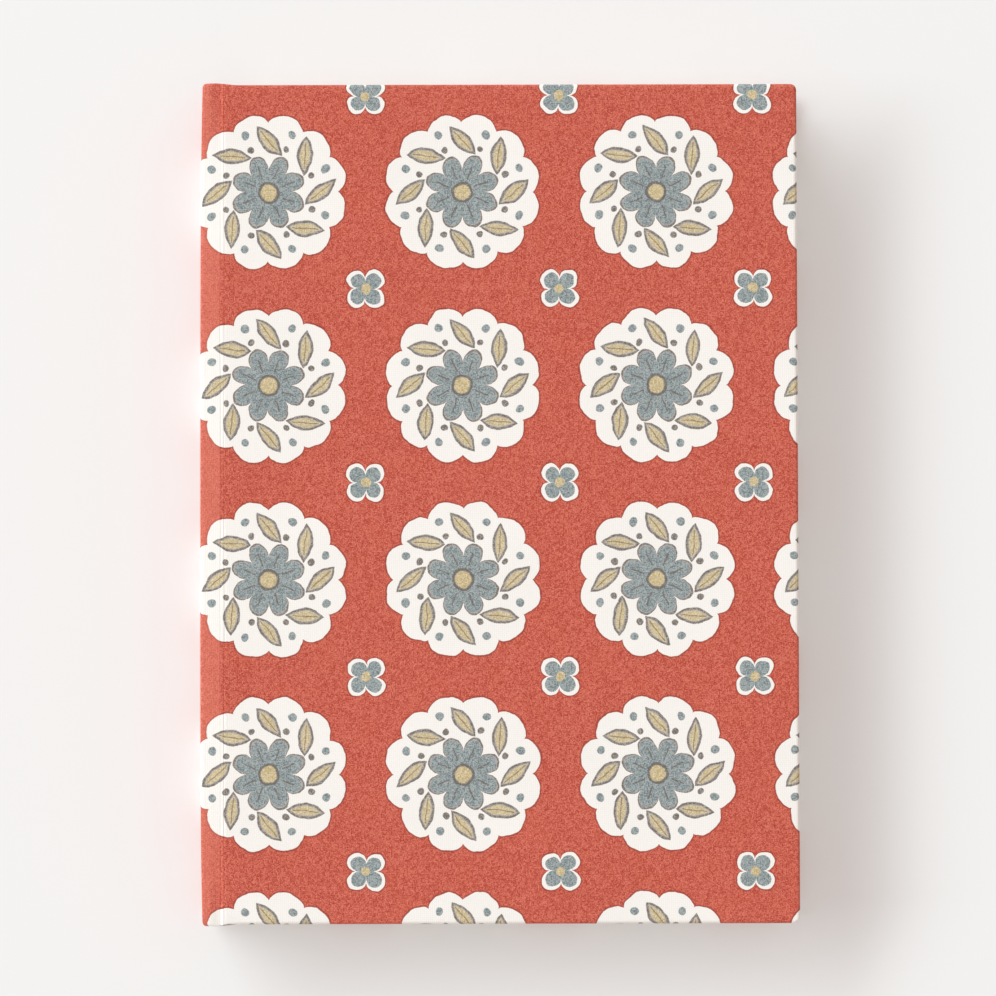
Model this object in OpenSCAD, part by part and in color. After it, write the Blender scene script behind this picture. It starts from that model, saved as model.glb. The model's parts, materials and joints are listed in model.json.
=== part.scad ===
// Hardcover notebook: sewn sections in a square-backed case of three boards and printed cloth.
// It lies on its back cover, closed. The spine is at -X, the head at +Y, and the floor at z = 0.
// In the sections below, s is a distance from the spine's outer face towards the fore-edge.

/* [Pages] */
// Width of a leaf, from the fold to the fore-edge
page_w = 148; // [90:1:220]
// Height of a leaf
page_h = 210; // [120:1:300]
// Thickness of one leaf
leaf_t = 0.11; // [0.08:0.01:0.2]
// Air between two leaves
leaf_gap = 0.01; // [0.01:0.005:0.03]
// Folded sheets nested in one section
sheet_count = 4; // [2:1:6]
// Sections in the block of pages
section_count = 10; // [4:2:12]
// Thickness of the endpapers
endpaper_t = 0.2; // [0.12:0.02:0.4]

/* [Sewing] */
// Diameter of the thread in the folds
thread_d = 0.2; // [0.14:0.02:0.4]
// Diameter of the doubled thread where sections are linked
link_d = 0.26; // [0.18:0.02:0.45]
// Kerfs sawn across the folds for the thread
kerf_count = 5; // [3:1:9]
// Width of one kerf
kerf_w = 0.6; // [0.5:0.1:1.2]
// Distance of the outer kerfs from the head and the tail
kerf_end = 14; // [8:1:30]

/* [Boards] */
// Thickness of the cover boards
board_t = 2.5; // [1.5:0.1:3.5]
// Thickness of the spine board
spine_board_t = 1.6; // [1:0.1:2.5]
// Overhang of the boards past the pages at the head and the tail
head_square = 2.75; // [1.5:0.05:5]
// Overhang of the boards past the pages at the fore-edge
fore_square = 2.05; // [1:0.05:5]
// Radius of the boards' outer corners, seen from above
board_corner_r = 1.15; // [0.5:0.05:6]
// Softening of the boards' edges
board_edge_r = 0.35; // [0.1:0.05:0.7]

/* [Cloth] */
// Thickness of the cover cloth
cloth_t = 0.45; // [0.3:0.05:0.6]
// Cloth turned in over the boards' inner faces
turn_in = 15; // [10:1:25]
// Gap along the mitred corners of the turn-ins
mitre_gap = 0.2; // [0.1:0.05:0.6]
// Radius of the cloth where the spine turns into a cover
fold_r = 1.6; // [1.2:0.1:2.4]
// Width of the joint, from the spine's face to the edge of a cover board
joint_w = 5.4; // [4.8:0.1:9]
// Width of the valley pressed into the joint
valley_w = 2.2; // [1:0.1:3]
// Depth of the valley
valley_depth = 0.3; // [0.1:0.05:0.6]
// Radius of the crease along the edge of a cover board
crease_r = 0.25; // [0.15:0.05:0.4]
// Depth of the crease
crease_depth = 0.12; // [0.05:0.01:0.2]
// How far the spine stands past the covers at the head and the tail
spine_stand = 0.5; // [0.1:0.1:1.5]
// Radius of the spine's ends, seen from above
spine_end_r = 1.2; // [0.8:0.1:1.25]

/* [Lining] */
// Thickness of the mull glued to the folds
mull_t = 0.2; // [0.1:0.05:0.4]
// Thickness of the paper that lines the mull
lining_t = 0.15; // [0.1:0.05:0.3]
// Distance of the mull from the head and the tail
mull_end = 16; // [13:1:40]
// Distance of the lining from the head and the tail
lining_end = 2; // [1:0.5:10]
// Width of the mull flaps on the cover boards
flap_w = 22; // [12:1:40]
// Hollow between the spine and the lining
hollow = 0.2; // [0.15:0.05:1]
// Film of glue between the mull and the folds
glue_t = 0.05; // [0.03:0.01:0.1]

/* [Hidden] */
$fn = 48;
// Clearance between sheets that lie on each other
lay_gap = 0.01;
// How far a cutting shape runs past what it cuts
past = 1;

// Thickness of a section, and the block that the sections make
leaf_pitch = leaf_t + leaf_gap;
fold_gap = thread_d + 4*lay_gap;
section_t = 2*sheet_count*leaf_pitch + fold_gap;
block_t = section_count*section_t;

// Levels above the floor, in the back half: the front half mirrors them
board_top = cloth_t + board_t;
turn_top = board_top + cloth_t;
paste_top = turn_top + endpaper_t;
block_bottom = paste_top + endpaper_t;
total_t = 2*block_bottom + block_t;

// Distances from the spine's outer face
spine_inner = cloth_t + spine_board_t;
spine_turn = spine_inner + cloth_t;
lining_s = spine_turn + hollow;
mull_s = lining_s + lining_t;
block_back = mull_s + mull_t + glue_t;
fold_s = block_back + section_t/2;
page_fore = block_back + page_w;
board_fore = page_fore + fore_square;
case_w = board_fore + cloth_t;
flap_fore = joint_w + flap_w;

// Heights from tail to head
board_h = page_h + 2*head_square;
case_h = board_h + 2*cloth_t;
spine_h = case_h + 2*spine_stand;
window_h = board_h - 2*turn_in;
mull_h = page_h - 2*mull_end;
lining_h = page_h - 2*lining_end;

// Each cover turns about a line where its cloth can unroll flat from the spine's corner
hinge_in = fold_r*(1 - PI/4);

cloth_red = [0.80, 0.41, 0.34];
board_grey = [0.56, 0.53, 0.49];
paper_white = [0.95, 0.93, 0.87];
endpaper_cream = [0.93, 0.90, 0.82];
mull_buff = [0.86, 0.82, 0.72];
lining_brown = [0.68, 0.54, 0.38];
thread_white = [0.97, 0.95, 0.90];

function two_digits(k) = str(k < 10 ? "0" : "", k);
function section_name(k) = str("section_", two_digits(k));
function thread_name(k) = str("thread_", two_digits(k));

// Middle plane of section k, where section 1 is next to the front cover
function section_z(k) = total_t - block_bottom - (k - 0.5)*section_t;

// Place of kerf i along the fold, counted from the tail
function kerf_y(i) = (page_h - 2*kerf_end)*(i/(kerf_count - 1) - 0.5);

// A flat slab between two distances from the spine and two levels, centred from tail to head
module slab(s0, s1, height, z0, z1) {
    translate([s0 - case_w/2, -height/2, z0]) cube([s1 - s0, height, z1 - z0]);
}

// Runs an outline of s and z from tail to head
module along_spine(height) {
    translate([-case_w/2, height/2, 0]) rotate([90, 0, 0]) linear_extrude(height) children();
}

// Runs an outline of y and z from s0 to s1
module across(s0, s1) {
    translate([s0 - case_w/2, 0, 0]) rotate([90, 0, 90]) linear_extrude(s1 - s0) children();
}

// Raises an outline of s and y between two levels
module upward(z0, z1) {
    translate([-case_w/2, 0, z0]) linear_extrude(z1 - z0) children();
}

// Turns a piece of the back half over into the front half
module front_half() {
    translate([0, 0, total_t]) mirror([0, 0, 1]) children();
}

// A rectangle with four round corners
module soft_rectangle(x0, x1, y0, y1, r) {
    translate([x0 + r, y0]) square([x1 - x0 - 2*r, y1 - y0]);
    translate([x0, y0 + r]) square([x1 - x0, y1 - y0 - 2*r]);
    for (x = [x0 + r, x1 - r]) for (y = [y0 + r, y1 - r]) translate([x, y]) circle(r);
}

// A board with soft edges and round corners on three sides, cut square at the joint
module soft_board(fore, height, z0, z1, edge_r, corner_r) {
    intersection() {
        along_spine(height) soft_rectangle(joint_w - 2*edge_r, fore, z0, z1, edge_r);
        across(joint_w, fore) soft_rectangle(-height/2, height/2, z0, z1, edge_r);
        upward(z0, z1) soft_rectangle(joint_w - 2*corner_r, fore, -height/2, height/2, corner_r);
    }
}

module cover_board() {
    soft_board(board_fore, board_h, cloth_t, board_top, board_edge_r, board_corner_r);
}

module back_board() {
    color(board_grey) cover_board();
}

module front_board() {
    color(board_grey) front_half() cover_board();
}

// The spine's outline seen from above, grown or shrunk by the cloth
module spine_plan(s0, s1, height, r) {
    upward(fold_r, total_t - fold_r) soft_rectangle(s0, s1, -height/2, height/2, r);
}

module spine_board() {
    end_r = min(spine_end_r - cloth_t, 0.48*spine_board_t);
    color(board_grey) spine_plan(cloth_t, spine_inner, spine_h - 2*cloth_t, end_r);
}

// Half of the cloth's round corner between the spine and a cover: the cover's half or the spine's
module corner_cloth(cover_side) {
    reach = 2*fold_r;
    translate([fold_r, fold_r]) intersection() {
        difference() {
            circle(fold_r);
            circle(fold_r - cloth_t);
        }
        polygon([[0, 0], [-reach, -reach], cover_side ? [0, -reach] : [-reach, 0]]);
    }
}

// Cloth of the joint in section: from the round corner through the valley to the board's edge
module joint_section() {
    valley_r = (pow(valley_w/2, 2) + pow(valley_depth, 2))/(2*valley_depth);
    valley_s = joint_w - crease_r - valley_w/2;
    valley_axis = [valley_s, valley_depth - valley_r];
    corner_cloth(true);
    difference() {
        union() {
            translate([fold_r, 0]) square([joint_w - fold_r, cloth_t]);
            intersection() {
                translate(valley_axis) circle(valley_r + cloth_t);
                translate([fold_r, 0]) square([joint_w - fold_r, board_top]);
            }
        }
        translate(valley_axis) circle(valley_r);
    }
}

// The joint from above: round at the spine's ends, easing down to the covers' height
module joint_plan() {
    intersection() {
        soft_rectangle(0, 2*joint_w, -spine_h/2, spine_h/2, spine_end_r);
        polygon([
            [-past, -spine_h/2], [block_back, -spine_h/2], [joint_w, -case_h/2],
            [joint_w, case_h/2], [block_back, spine_h/2], [-past, spine_h/2],
        ]);
    }
}

// Cloth across the joint, doubled at the head and the tail where it is turned in
module joint_cloth() {
    intersection() {
        upward(0, board_top) joint_plan();
        union() {
            along_spine(spine_h) joint_section();
            for (end = [-1, 1]) translate([0, end*(spine_h - turn_in)/2, 0]) {
                slab(fold_r, joint_w, turn_in, cloth_t, 2*cloth_t);
            }
        }
    }
}

// Slit along the mitre where the head or tail turn-in meets the fore-edge turn-in
module mitre_slit(end) {
    slit = turn_in*sqrt(2) - 2*board_corner_r + mitre_gap;
    translate([board_fore - turn_in - case_w/2, end*window_h/2, board_top]) rotate([0, 0, end*45]) {
        translate([-mitre_gap, -mitre_gap/2, 0]) cube([slit, mitre_gap, cloth_t + past]);
    }
}

// Cloth of one cover: over the board, round its three edges and onto its inner face
module cover_cloth() {
    difference() {
        union() {
            soft_board(case_w, case_h, 0, turn_top, board_edge_r + cloth_t, board_corner_r + cloth_t);
            joint_cloth();
        }
        cover_board();
        slab(joint_w - past, board_fore - turn_in, window_h, board_top, turn_top + past);
        for (end = [-1, 1]) mitre_slit(end);
        along_spine(spine_h + 2*past) translate([joint_w, crease_depth - crease_r]) circle(crease_r);
    }
}

module cover_cloth_back() {
    color(cloth_red) cover_cloth();
}

module cover_cloth_front() {
    color(cloth_red) front_half() cover_cloth();
}

// Cloth of the spine: its outer face, its share of the two round corners and its turned-in ends
module cover_cloth_spine() {
    end_r = min(spine_end_r, 0.48*spine_turn);
    color(cloth_red) union() {
        intersection() {
            upward(0, total_t) soft_rectangle(0, 2*joint_w, -spine_h/2, spine_h/2, end_r);
            union() {
                along_spine(spine_h) corner_cloth(false);
                front_half() along_spine(spine_h) corner_cloth(false);
            }
        }
        difference() {
            spine_plan(0, spine_turn, spine_h, end_r);
            spine_board();
            slab(spine_inner, spine_turn + past, spine_h - 2*turn_in, 0, total_t);
        }
    }
}

// Endpaper on the inner face of a cover: it dips from the turn-ins to the mull flap and the board
module pastedown() {
    flap_top = board_top + mull_t;
    window_fore = board_fore - turn_in;
    inner_h = window_h - 2*endpaper_t;
    difference() {
        slab(block_back, page_fore, page_h, board_top, paste_top - lay_gap);
        difference() {
            slab(0, case_w, case_h, 0, turn_top);
            slab(block_back, window_fore, window_h, board_top, turn_top + past);
        }
        slab(0, flap_fore, window_h, 0, flap_top);
        slab(0, window_fore - endpaper_t, inner_h, flap_top + endpaper_t, paste_top + past);
        slab(flap_fore + endpaper_t, window_fore - endpaper_t, inner_h, board_top + endpaper_t, paste_top);
    }
}

module back_pastedown() {
    color(endpaper_cream) pastedown();
}

module front_pastedown() {
    color(endpaper_cream) front_half() pastedown();
}

// Free leaf of an endpaper, tipped to the outer section along its fold
module flyleaf() {
    slab(fold_s, page_fore, page_h, paste_top, block_bottom - lay_gap);
}

module back_flyleaf() {
    color(endpaper_cream) flyleaf();
}

module front_flyleaf() {
    color(endpaper_cream) front_half() flyleaf();
}

// Open-weave cloth glued to the folds of the sections
module mull() {
    color(mull_buff) slab(mull_s, mull_s + mull_t, mull_h, block_bottom, total_t - block_bottom);
}

// Flap of the mull, under the pastedown of a cover
module mull_flap() {
    slab(block_back, flap_fore, mull_h, board_top, board_top + mull_t);
}

module mull_flap_back() {
    color(mull_buff) mull_flap();
}

module mull_flap_front() {
    color(mull_buff) front_half() mull_flap();
}

module spine_lining() {
    color(lining_brown) slab(lining_s, mull_s, lining_h, block_bottom, total_t - block_bottom);
}

// One folded sheet in section: a leaf on each side of a round fold
module folded_sheet(radius) {
    difference() {
        union() {
            circle(radius);
            translate([0, -radius]) square([page_fore - fold_s, 2*radius]);
        }
        circle(radius - leaf_t);
        translate([0, leaf_t - radius]) square([page_fore - fold_s + past, 2*(radius - leaf_t)]);
    }
}

// Sheets folded together, with kerfs sawn across their folds for the thread
module section(k) {
    kerf_depth = sheet_count*leaf_pitch + leaf_gap;
    color(paper_white) difference() {
        along_spine(page_h) translate([fold_s, section_z(k)]) {
            for (sheet = [0:sheet_count - 1]) folded_sheet(section_t/2 - leaf_gap - sheet*leaf_pitch);
        }
        for (i = [0:kerf_count - 1]) translate([0, kerf_y(i), section_z(k) - section_t/2]) {
            slab(block_back - past, block_back + kerf_depth, kerf_w, 0, section_t);
        }
    }
}

// Sewing of one section: along the inside of the fold, out at each kerf and on to its neighbours
module thread(k) {
    link_s = block_back + link_d;
    run = kerf_y(kerf_count - 1) - kerf_y(0);
    color(thread_white) translate([-case_w/2, 0, section_z(k)]) {
        translate([fold_s, 0, 0]) rotate([90, 0, 0]) cylinder(run, d = thread_d, center = true, $fn = 8);
        for (i = [0:kerf_count - 1]) translate([link_s, kerf_y(i), 0]) {
            rotate([0, 90, 0]) cylinder(fold_s - link_s, d = 0.9*thread_d, $fn = 8);
            cylinder(section_t - 2*lay_gap, d = link_d, center = true, $fn = 8);
        }
    }
}

back_board();
front_board();
spine_board();
cover_cloth_back();
cover_cloth_front();
cover_cloth_spine();
back_pastedown();
front_pastedown();
back_flyleaf();
front_flyleaf();
mull();
mull_flap_back();
mull_flap_front();
spine_lining();
for (k = [1:section_count]) {
    section(k);
    thread(k);
}
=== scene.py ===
"""Looks of the hardcover notebook: printed cloth on its case, sewn pages inside, and a soft studio."""
import json
import math

import bpy
import numpy as np
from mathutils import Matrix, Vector

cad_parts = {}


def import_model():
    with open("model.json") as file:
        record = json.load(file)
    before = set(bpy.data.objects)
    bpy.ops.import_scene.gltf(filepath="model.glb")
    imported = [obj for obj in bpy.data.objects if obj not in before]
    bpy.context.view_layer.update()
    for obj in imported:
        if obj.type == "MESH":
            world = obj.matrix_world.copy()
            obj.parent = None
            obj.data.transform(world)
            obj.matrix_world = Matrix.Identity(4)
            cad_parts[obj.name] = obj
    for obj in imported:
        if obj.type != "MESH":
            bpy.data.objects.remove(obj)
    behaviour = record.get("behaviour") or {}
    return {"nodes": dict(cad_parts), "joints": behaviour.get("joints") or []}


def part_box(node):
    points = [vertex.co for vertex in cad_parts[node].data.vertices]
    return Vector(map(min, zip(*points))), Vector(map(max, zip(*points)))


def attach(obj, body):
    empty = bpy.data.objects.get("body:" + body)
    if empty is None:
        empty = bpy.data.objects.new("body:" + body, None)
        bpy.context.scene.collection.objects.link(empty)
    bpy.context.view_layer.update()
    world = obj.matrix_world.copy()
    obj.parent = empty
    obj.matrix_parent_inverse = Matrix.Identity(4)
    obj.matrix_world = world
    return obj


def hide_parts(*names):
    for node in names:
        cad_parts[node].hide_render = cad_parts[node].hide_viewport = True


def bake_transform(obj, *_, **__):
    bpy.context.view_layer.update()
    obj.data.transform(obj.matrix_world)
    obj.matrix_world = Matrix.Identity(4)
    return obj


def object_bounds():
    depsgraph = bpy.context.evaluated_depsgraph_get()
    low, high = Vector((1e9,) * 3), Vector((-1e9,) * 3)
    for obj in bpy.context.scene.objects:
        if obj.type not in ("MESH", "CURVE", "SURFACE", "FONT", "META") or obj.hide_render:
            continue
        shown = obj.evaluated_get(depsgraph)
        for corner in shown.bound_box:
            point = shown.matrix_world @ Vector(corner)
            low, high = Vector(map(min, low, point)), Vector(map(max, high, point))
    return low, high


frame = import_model()
cad_low, cad_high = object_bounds()
nodes = frame["nodes"]

MM = 0.001
RNG = np.random.default_rng(11)


def box_mm(node):
    """Lowest and highest corner of a CAD node, in millimetres."""
    low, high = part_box(node)
    return np.array(low) / MM, np.array(high) / MM


# Sizes of the case, in millimetres, read from the solids. s runs from the spine's outer face to the
# fore-edge, y from tail to head, and h from a cover's outer face inwards
SPINE_X = cad_low.x / MM
CASE_W = (cad_high.x - cad_low.x) / MM
SPINE_H = (cad_high.y - cad_low.y) / MM
TOTAL_T = cad_high.z / MM
board_low, board_high = box_mm("back_board")
CLOTH_T = board_low[2]
BOARD_TOP = board_high[2]
JOINT_S = board_low[0] - SPINE_X
BOARD_FORE = board_high[0] - SPINE_X
BOARD_H = board_high[1] - board_low[1]
CASE_H = BOARD_H + 2 * CLOTH_T
TURN_TOP = BOARD_TOP + CLOTH_T
spine_low, spine_high = box_mm("spine_board")
FOLD_R = spine_low[2]
SPINE_TURN = spine_high[0] - SPINE_X + CLOTH_T
section_low, section_high = box_mm("section_01")
SECTION_COUNT = len([n for n in nodes if n.startswith("section_")])
PAGE_FORE = section_high[0] - SPINE_X
PAGE_H = section_high[1] - section_low[1]
flap_low, flap_high = box_mm("mull_flap_back")
FLAP_FORE = flap_high[0] - SPINE_X
FLAP_H = flap_high[1] - flap_low[1]
MULL_T = flap_high[2] - flap_low[2]
flyleaf_low, flyleaf_high = box_mm("back_flyleaf")
FOLD_S = flyleaf_low[0] - SPINE_X
ENDPAPER_T = flyleaf_high[2] - flyleaf_low[2]
pastedown_low, pastedown_high = box_mm("back_pastedown")
BLOCK_BACK = pastedown_low[0] - SPINE_X
PASTE_TOP = pastedown_high[2]
SECTION_T = (TOTAL_T - 2 * flyleaf_high[2]) / SECTION_COUNT

# The cloth: radii of its folds, and the most of the gap between two layers that a radius takes
BOARD_EDGE_R, BOARD_CORNER_R = 0.35, 1.15
EDGE_R = BOARD_EDGE_R + CLOTH_T
CORNER_R = BOARD_CORNER_R + CLOTH_T
SPINE_END_R = 1.2
MOST_ROUND = 0.48

# How far it is turned in, where the joint's piece ends and how far before that it has the cover's height,
# the thickness of its pieces, and the angle in degrees from which an edge looks sharp
TURN_IN = 15.0
SEAM_S = 10.0
EASE_BEFORE = 0.5
SHELL_T = 0.4
JOINT_SHELL_T = 0.3
SHARP_ANGLE = 45

# Width of the wear on its folds, and how far it bows out over the spine
WEAR_W = 1.6
SPINE_BOW, BOW_POWER = 0.6, 5

# The bend round the spine's corner, as four points of s and h, and the slope and the valley of the hinge
CORNER_BEND = ((0.0, 1.6), (0.0, 0.8), (0.1, 0.5), (0.55, 0.45))
BEND_HALF = (CORNER_BEND[0][1] + CORNER_BEND[-1][0]) / 2
TO_BEND = TOTAL_T / 2 - CORNER_BEND[0][1]
SLOPE_END = 4.9
VALLEY_FROM, VALLEY_LOW, VALLEY_TO = 1.8, 4.75, 5.5
VALLEY_MIDDLE, VALLEY_ENDS, END_POWER = 0.03, 0.54, 9

# Two worn creases: place, width and depth, and the wave and shift with which the depth varies along them.
# Each strays from its line by a long and a short wave, and a short wave varies its depth as well
CREASES = ((4.85, 0.17, 0.075, 23.0, 1.0), (5.75, 0.17, 0.06, 31.0, 3.6))
STRAY_LONG, STRAY_LONG_WAVE = 0.1, 13.0
STRAY_SHORT, STRAY_SHORT_WAVE = 0.06, 5.1
DEPTH_LONG = 0.35
DEPTH_SHORT, DEPTH_SHORT_WAVE = 0.25, 4.3

# Painted highlight: the hinge's cloth is painted lighter from the corner to just before the valley, where
# its slope faces the lamp, and less so at its ends
SLOPE_LIGHT_RAMP, SLOPE_LIGHT_ENDS_BEFORE = 0.5, 0.4
SLOPE_LIGHT_FADE_FROM, SLOPE_LIGHT_FADE_OVER = 1.0, 2.0

# Columns and rows of the cloth's meshes, which are finer across the creases
ARC_STEPS = 5
FINE_FROM, FINE_TO = 3.0, 6.2
BEND_COLUMNS, SLOPE_COLUMNS, FINE_COLUMNS, SEAM_COLUMNS = 13, 12, 42, 5
SPINE_COLUMNS, JOINT_ROWS = 15, 67
PANEL_COLUMNS, PANEL_ROWS = 31, 45
TURN_IN_ROWS = (2.0, 5.0, 10.0, TURN_IN)
TURN_IN_INSETS = (3.0, 6.0, 10.0)

# The print: places and sizes in millimetres on the flat cloth. A medallion is drawn, then enlarged
PITCH = 50.0
PRINT_U, PRINT_V = 27.0, 31.0
MEDALLION = 1.12
SCALLOPS, SCALLOP_R, SCALLOP_OUT, SCALLOP_ROUND = 12, 16.0, 2.1, 0.7
PETALS, PETAL_R, PETAL_OUT, PETAL_ROUND = 8, 5.2, 3.6, 0.6
HEART_R, RING_R, OUTLINE_W = 1.9, 2.5, 0.6
VEIN_W, VEIN_FROM, VEIN_TO = 0.16, 3.3, 6.4
LEAF_AT, LEAF_TILT, LEAF_HALF, LEAF_WIDE = 11.9, 0.7, 4.5, 1.85
LEAF_OUTLINE_W, MIDRIB_W, MIDRIB_HALF = 0.7, 0.1, 3.0
BUD_AT, BUD_R = 10.6, 0.75
DOT_AT, DOT_R = 14.2, 0.95
FLORET_PETALS, FLORET_R, FLORET_OUT = 4, 2.7, 3.1
FLORET_BAND, FLORET_HEART_R = 1.0, 1.25
POOL_W = 0.35
INK_BLEED, OUTLINE_BLEED, LEAF_BLEED, VEIN_BLEED, POOL_BLEED = 0.14, 0.4, 0.5, 0.2, 0.3


def smooth(t):
    """0 before 0, 1 after 1, and a smooth ramp between."""
    t = np.clip(t, 0.0, 1.0)
    return t * t * (3 - 2 * t)


def place(points, front):
    """World points in metres from rows of s, y and h, on the front or the back cover."""
    s, y, h = np.asarray(points, float).T
    z = TOTAL_T - h if front else h
    return np.stack([SPINE_X + s, y, z], axis=1) * MM


def make_piece(name, points, faces, flip=False, **attributes):
    """A mesh object from points in metres, with the named values kept on its points."""
    mesh = bpy.data.meshes.new(name)
    if flip:
        faces = [tuple(reversed(f)) for f in faces]
    mesh.from_pydata([tuple(p) for p in points], [], faces)
    for key, values in attributes.items():
        values = np.asarray(values, np.float32)
        if values.ndim == 2:
            mesh.attributes.new(key, "FLOAT_VECTOR", "POINT").data.foreach_set("vector", values.ravel())
        else:
            mesh.attributes.new(key, "FLOAT", "POINT").data.foreach_set("value", values)
    obj = bpy.data.objects.new(name, mesh)
    bpy.context.scene.collection.objects.link(obj)
    return obj


def thicken(obj, thickness, offset=-1.0):
    """Gives a sheet its thickness, in millimetres, and soft shading except at its cut edges.

    Where the sheet has two materials, the second one is for the cut edges.
    """
    shell = obj.modifiers.new("thickness", "SOLIDIFY")
    shell.thickness = thickness * MM
    shell.offset = offset
    shell.material_offset_rim = max(len(obj.data.materials) - 1, 0)
    graph = bpy.context.evaluated_depsgraph_get()
    solid = bpy.data.meshes.new_from_object(obj.evaluated_get(graph))
    obj.modifiers.clear()
    obj.data = solid
    solid.shade_smooth()
    solid.set_sharp_from_angle(angle=math.radians(SHARP_ANGLE))
    return obj


def grid_faces(columns, rows):
    """Quads of a grid of points stored column by column."""
    return [
        (i * rows + j, (i + 1) * rows + j, (i + 1) * rows + j + 1, i * rows + j + 1)
        for i in range(columns - 1)
        for j in range(rows - 1)
    ]


# Cloth of the spine, and across each joint: round the spine's corner and over the hinge to the board
def corner_bend(count):
    """The bend from the spine's face to the slope of the hinge, as rows of s and h."""
    t = np.linspace(0, 1, count)[:, None]
    a, b, c, d = (np.array(point) for point in CORNER_BEND)
    return a * (1 - t) ** 3 + 3 * b * t * (1 - t) ** 2 + 3 * c * t * t * (1 - t) + d * t ** 3


def hinge_dip(s, y, to_end):
    """Depth of the hinge below its slope: a valley that deepens to the ends, and two worn creases."""
    down = smooth((s - VALLEY_FROM) / (VALLEY_LOW - VALLEY_FROM))
    up = smooth((s - VALLEY_LOW) / (VALLEY_TO - VALLEY_LOW))
    dip = (down - up) * (VALLEY_MIDDLE + VALLEY_ENDS * to_end ** END_POWER)
    for at, width, deep, wave, shift in CREASES:
        middle = at + STRAY_LONG * np.sin(y / STRAY_LONG_WAVE + shift)
        middle = middle + STRAY_SHORT * np.sin(y / STRAY_SHORT_WAVE + 2 * shift)
        uneven = 1 + DEPTH_LONG * np.sin(y / wave + shift)
        uneven = uneven + DEPTH_SHORT * np.sin(y / DEPTH_SHORT_WAVE - shift)
        dip = dip + deep * np.exp(-(((s - middle) / width) ** 2)) * uneven
    return dip


def hinge_slope(s):
    """Depth of the cloth from the corner to the board, before the valley and the creases."""
    from_s, from_h = CORNER_BEND[-1]
    return from_h * np.maximum(SLOPE_END - s, 0) / (SLOPE_END - from_s)


# A ramp bit by bit along the corner, from its first point to one on the slope, along which the turned-in
# layer follows the outer one
TURN_END_S = 1.0
TURN_FROM = CORNER_BEND[0]
TURN_TO = (TURN_END_S, hinge_slope(TURN_END_S))

# The turned-in layer: how far it shifts round the corner, how far past the corner it meets the outer layer,
# and the length over which it rises onto the board
INNER_SHIFT = 0.3
MEET_PAST = 1.1
BOARD_RISE = 0.9


def joint_columns():
    """Outer points, inner points where the cloth is turned in, and lengths from the spine's middle."""
    bend = corner_bend(BEND_COLUMNS)
    flat = np.concatenate([
        np.linspace(CORNER_BEND[-1][0], FINE_FROM, SLOPE_COLUMNS)[1:],
        np.linspace(FINE_FROM, FINE_TO, FINE_COLUMNS)[1:],
        np.linspace(FINE_TO, SEAM_S, SEAM_COLUMNS)[1:],
    ])
    outer_s = np.concatenate([bend[:, 0], flat])
    outer_h = np.concatenate([bend[:, 1], hinge_slope(flat)])
    steps = np.cumsum(np.hypot(np.diff(outer_s), np.diff(outer_h)))
    length = TO_BEND + np.concatenate([[0], steps])

    # Each inner point of the corner turns as far as the outer one, so that the two layers stay together
    run_s, run_h = TURN_TO[0] - TURN_FROM[0], TURN_TO[1] - TURN_FROM[1]
    whole = run_s ** 2 + run_h ** 2
    turn = np.clip((outer_s * run_s + (outer_h - TURN_FROM[1]) * run_h) / whole, 0, 1)
    inner_s = SPINE_TURN + INNER_SHIFT * turn
    inner_h = TURN_FROM[1] + (turn * whole - inner_s * run_s) / run_h

    # Past the corner they come together as a double layer, and part again at the board
    double = 2 * CLOTH_T
    meet_s = SPINE_TURN + MEET_PAST
    over = np.clip((outer_s - TURN_TO[0]) / (meet_s - TURN_TO[0]), 0, 1)
    rise = (TURN_TOP - double) * smooth((outer_s - JOINT_S + BOARD_RISE) / BOARD_RISE)
    inner_s = np.where(outer_s < meet_s, inner_s + (meet_s - inner_s) * over, outer_s)
    inner_h = inner_h + (hinge_slope(meet_s) + double - inner_h) * over
    inner_h = np.where(outer_s < meet_s, inner_h, outer_h + double + rise)
    inner_h = np.where(outer_s > JOINT_S, TURN_TOP, inner_h)
    return outer_s, outer_h, inner_s, inner_h, length


def joint_rows(half, radius, reach):
    """Rows from tail to head: share of the way from the outer to the inner face, and place along y."""
    psi = np.linspace(0, math.pi / 2, ARC_STEPS + 1)
    depth = np.concatenate([radius * (1 - np.cos(psi)), reach - radius * (1 - np.sin(psi))])
    out = np.concatenate([half - radius + radius * np.sin(psi), half - radius + radius * np.cos(psi)])
    turn_in = np.array(TURN_IN_ROWS)
    share = np.concatenate([depth / reach, np.ones(len(turn_in))])
    edge = np.concatenate([out, half - radius - turn_in])
    run = np.concatenate([[0], np.cumsum(np.hypot(np.diff(share * reach), np.diff(edge)))])
    middle = np.linspace(-1, 1, JOINT_ROWS)[1:-1] * (half - radius)
    shares = np.concatenate([share[::-1], 0 * middle, share])
    ys = np.concatenate([-edge[::-1], middle, edge])
    unrolled = np.concatenate([-(half - radius + run)[::-1], middle, half - radius + run])
    return shares, ys, unrolled


def corner_wear(along):
    """Wear on the spine's corner, where along is the way from the spine's middle."""
    return np.exp(-(((along - TO_BEND - BEND_HALF / 2) / WEAR_W) ** 2))


def end_wear(unrolled, half, shares):
    """Wear on the cloth's edge at the head and the tail."""
    return smooth((np.abs(unrolled) - half + WEAR_W) / WEAR_W) * (shares < 1)


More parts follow.
